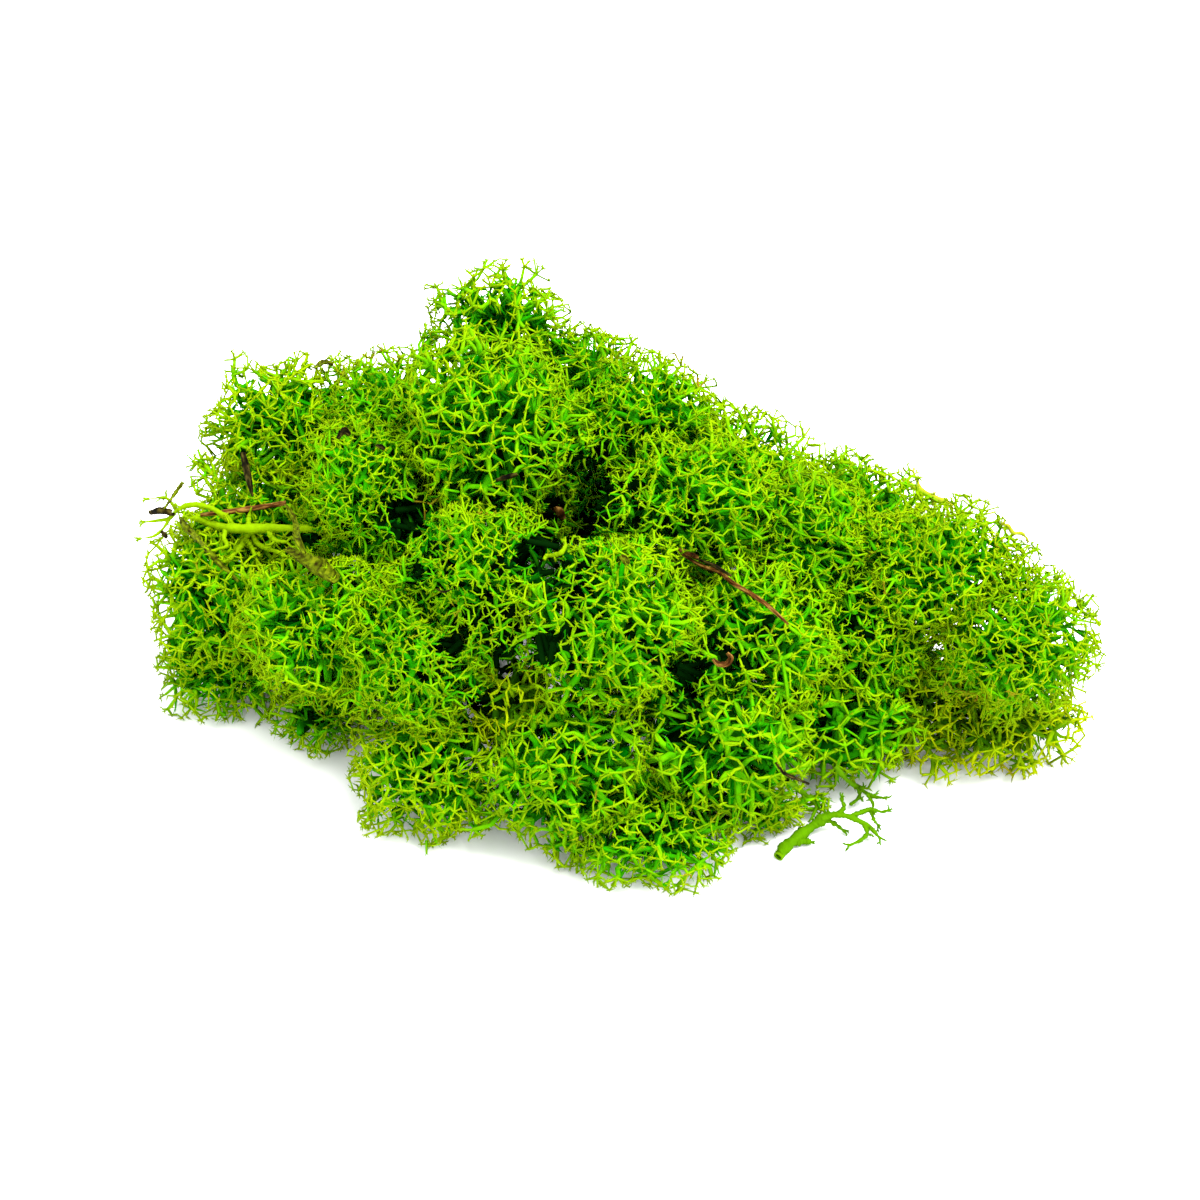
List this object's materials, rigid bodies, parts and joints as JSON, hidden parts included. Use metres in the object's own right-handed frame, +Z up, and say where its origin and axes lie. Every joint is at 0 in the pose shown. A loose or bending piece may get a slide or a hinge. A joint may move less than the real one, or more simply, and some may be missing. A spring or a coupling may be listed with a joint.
{
  "type": "lichen clump",
  "caption": "Loose clump of dyed green reindeer lichen lying on its side, with conifer needles, twigs and bark caught between its cushions.",
  "frame": {"origin": "on the surface it lies on, under the middle of the clump's bounding box", "axes": "+X along the clump's length, +Y away from the side that the picture shows, +Z up"},
  "size_m": [0.1818, 0.1314, 0.074],
  "materials": {
    "lichen_green": "matt dyed lichen, bright yellow-green tips on deeper green stems",
    "lichen_olive": "matt lichen, undyed olive and mustard",
    "lichen_yellow": "matt dry strand, yellow to light brown",
    "needle_red": "smooth dry conifer needle, red-brown",
    "bark_brown": "rough bark, dark brown",
    "bark_olive": "rough dry bark, olive-brown"
  },
  "bodies": {
    "root": {"back_crown_tuft": "lichen_green", "back_end_tuft": "lichen_green", "back_foot_tuft": "lichen_green", "back_left_foot_tuft": "lichen_green", "back_left_tuft": "lichen_green", "back_middle_tuft": "lichen_green", "back_ridge_tuft": "lichen_green", "back_right_foot_tuft": "lichen_green", "back_right_tuft": "lichen_green", "back_slope_tuft": "lichen_green", "bark_crumb": "bark_brown", "bark_curl": "bark_olive", "bark_strip": "bark_olive", "base_left_tuft": "lichen_green", "base_right_tuft": "lichen_green", "brown_strand": "lichen_yellow", "centre_left_tuft": "lichen_green", "centre_right_tuft": "lichen_green", "centre_tuft": "lichen_green", "coiled_bark": "needle_red", "crown_left_tuft": "lichen_green", "crown_right_tuft": "lichen_green", "crown_tuft": "lichen_green", "dark_needle": "bark_brown", "diagonal_twig": "bark_olive", "front_foot_tuft": "lichen_green", "front_inner_tuft": "lichen_green", "front_lace_tuft": "lichen_green", "front_left_tuft": "lichen_green", "front_right_foot_tuft": "lichen_green", "front_right_tuft": "lichen_green", "front_tuft": "lichen_green", "front_twig": "bark_brown", "left_back_tuft": "lichen_green", "left_end_tuft": "lichen_green", "left_foot_tuft": "lichen_green", "left_front_tuft": "lichen_green", "left_hollow_tuft": "lichen_green", "left_inner_tuft": "lichen_green", "left_lace_tuft": "lichen_green", "left_middle_tuft": "lichen_green", "left_shaded_tuft": "lichen_green", "long_pine_needle": "needle_red", "loose_loop": "lichen_green", "loose_stem": "lichen_green", "peak_tuft": "lichen_green", "red_needle": "needle_red", "right_end_tuft": "lichen_green", "right_foot_tuft": "lichen_olive", "right_head_tuft": "lichen_green", "right_inner_foot_tuft": "lichen_olive", "right_shoulder_tuft": "lichen_green", "right_valley_tuft": "lichen_green", "short_pine_needle": "bark_brown", "sprig_tuft": "lichen_olive", "stray_branch": "lichen_green", "stray_branch_fork": "lichen_green", "thin_twig": "bark_olive", "yellow_strand": "lichen_yellow"}
  },
  "joints": []
}
